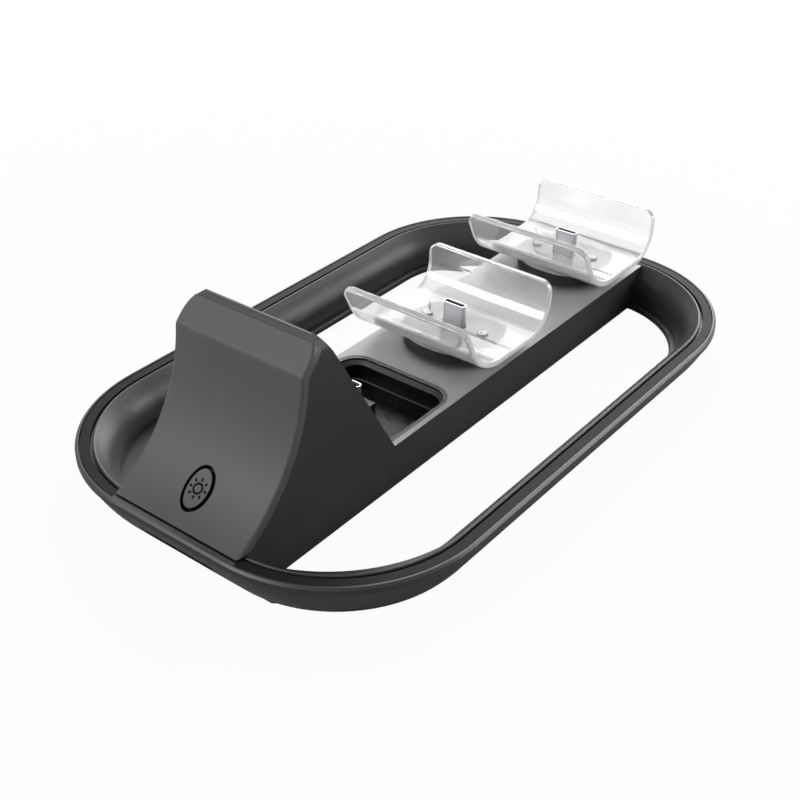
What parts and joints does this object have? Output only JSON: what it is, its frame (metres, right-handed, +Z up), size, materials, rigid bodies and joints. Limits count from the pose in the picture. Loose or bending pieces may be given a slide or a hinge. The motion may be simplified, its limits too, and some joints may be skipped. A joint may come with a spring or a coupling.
{
  "type": "controller charging dock",
  "caption": "Low ring-shaped charging dock with a central spine, a leaning front tower with a light button, a device slot and clear bent controller cradles on upright plugs.",
  "frame": {"origin": "on the floor under the middle of the ring", "axes": "+Z up, -Y towards the tower end, +X to the right of someone facing the tower"},
  "size_m": [0.133, 0.216, 0.0643],
  "materials": {
    "black_shell": "fine satin moulded black",
    "black_plate": "fine satin moulded dark grey",
    "black_button": "satin moulded dark grey",
    "smoked_strip": "smoked diffuser strip",
    "gloss_black": "polished black",
    "clear": "clear polished",
    "plug_metal": "nickel plated",
    "plug_insulator": "moulded black",
    "board": "circuit board lacquer",
    "screw_steel": "zinc plated",
    "foot_rubber": "soft black"
  },
  "bodies": {
    "dock": {"base_pan": "black_shell", "ring_top": "black_shell", "spine_housing": "black_shell", "tower_front_plate": "black_plate", "light_guide": "smoked_strip", "led_strip": "board", "pocket_liner": "gloss_black", "near_cradle": "clear", "rear_cradle": "clear", "near_plinth": "black_shell", "rear_plinth": "black_shell", "near_plug_shell": "plug_metal", "rear_plug_shell": "plug_metal", "slot_plug_shell": "plug_metal", "inlet_shell": "plug_metal", "near_plug_core": "plug_insulator", "rear_plug_core": "plug_insulator", "slot_plug_core": "plug_insulator", "inlet_core": "plug_insulator", "button_switch": "plug_insulator", "switch_board": "board", "main_board": "board", "inlet_board": "board", "slot_plug_board": "board", "cradle_pins": "clear", "board_screws": "screw_steel", "base_screws": "screw_steel", "rubber_feet": "foot_rubber"},
    "button": {"led_button": "black_button", "switch_plunger": "plug_insulator"}
  },
  "joints": [
    {"name": "button_press", "type": "slide", "parent": "dock", "child": "button", "axis": [0, 0.6428, -0.7661], "range_m": [0, 0.0006], "stiffness_N_per_m": 1000, "springref_m": -0.0004}
  ]
}
